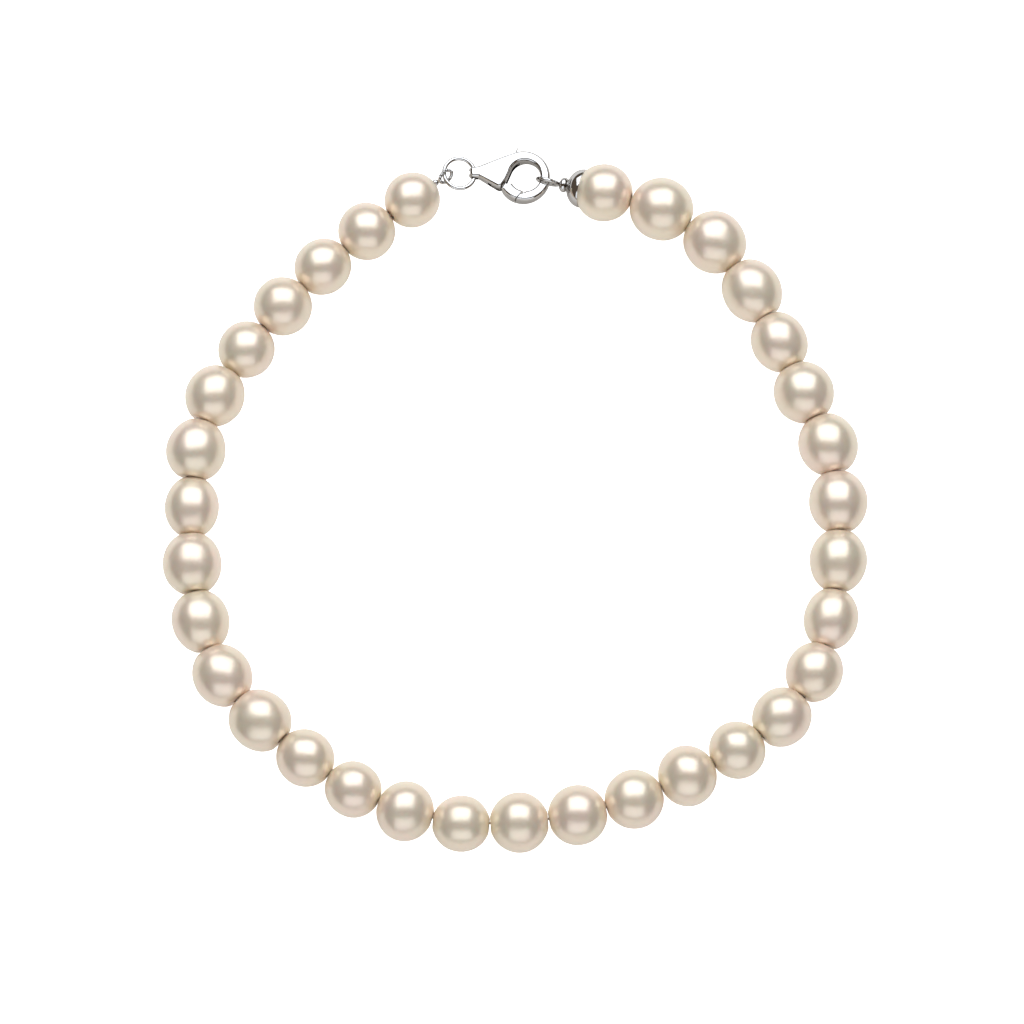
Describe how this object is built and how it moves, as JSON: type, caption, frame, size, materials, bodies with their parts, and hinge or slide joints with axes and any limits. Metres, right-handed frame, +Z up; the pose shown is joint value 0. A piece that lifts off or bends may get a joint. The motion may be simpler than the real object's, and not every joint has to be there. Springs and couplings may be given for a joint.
{
  "type": "pearl bracelet",
  "caption": "String of cream pearls for the wrist, lying in a round loop and closed by a polished silver trigger clasp, jump ring and bell cap.",
  "frame": {"origin": "on the surface that the bracelet lies on, under the middle of its outer box", "axes": "+Z up from the surface, +Y towards the clasp, +X towards the side whose last pearl sits in the bell cap"},
  "size_m": [0.0686, 0.071, 0.0062],
  "materials": {
    "pearl": "smooth nacre with a soft deep lustre, cream with faint rose and green overtones",
    "silver": "polished sterling silver with fine handling scratches",
    "thread": "twisted silk"
  },
  "bodies": {
    "bracelet": {"pearl_01": "pearl", "pearl_02": "pearl", "pearl_03": "pearl", "pearl_04": "pearl", "pearl_05": "pearl", "pearl_06": "pearl", "pearl_07": "pearl", "pearl_08": "pearl", "pearl_09": "pearl", "pearl_10": "pearl", "pearl_11": "pearl", "pearl_12": "pearl", "pearl_13": "pearl", "pearl_14": "pearl", "pearl_15": "pearl", "pearl_16": "pearl", "pearl_17": "pearl", "pearl_18": "pearl", "pearl_19": "pearl", "pearl_20": "pearl", "pearl_21": "pearl", "pearl_22": "pearl", "pearl_23": "pearl", "pearl_24": "pearl", "pearl_25": "pearl", "pearl_26": "pearl", "pearl_27": "pearl", "pearl_28": "pearl", "pearl_29": "pearl", "pearl_30": "pearl", "pearl_31": "pearl", "pearl_32": "pearl", "pearl_33": "pearl", "thread": "thread", "end_cap": "silver", "clasp_body": "silver", "clasp_pin": "silver", "jump_ring": "silver", "crimp_bead": "silver", "wire_loop": "silver"},
    "lever": {"clasp_lever": "silver"}
  },
  "joints": [
    {"name": "lever_hinge", "type": "hinge", "parent": "bracelet", "child": "lever", "pos_m": [-0.00194, 0.03187, 0.00123], "axis": [-0.0523, 0, 0.9986], "range_deg": [0, 25], "stiffness_Nm_per_rad": 0.002, "springref_deg": -11.46}
  ]
}
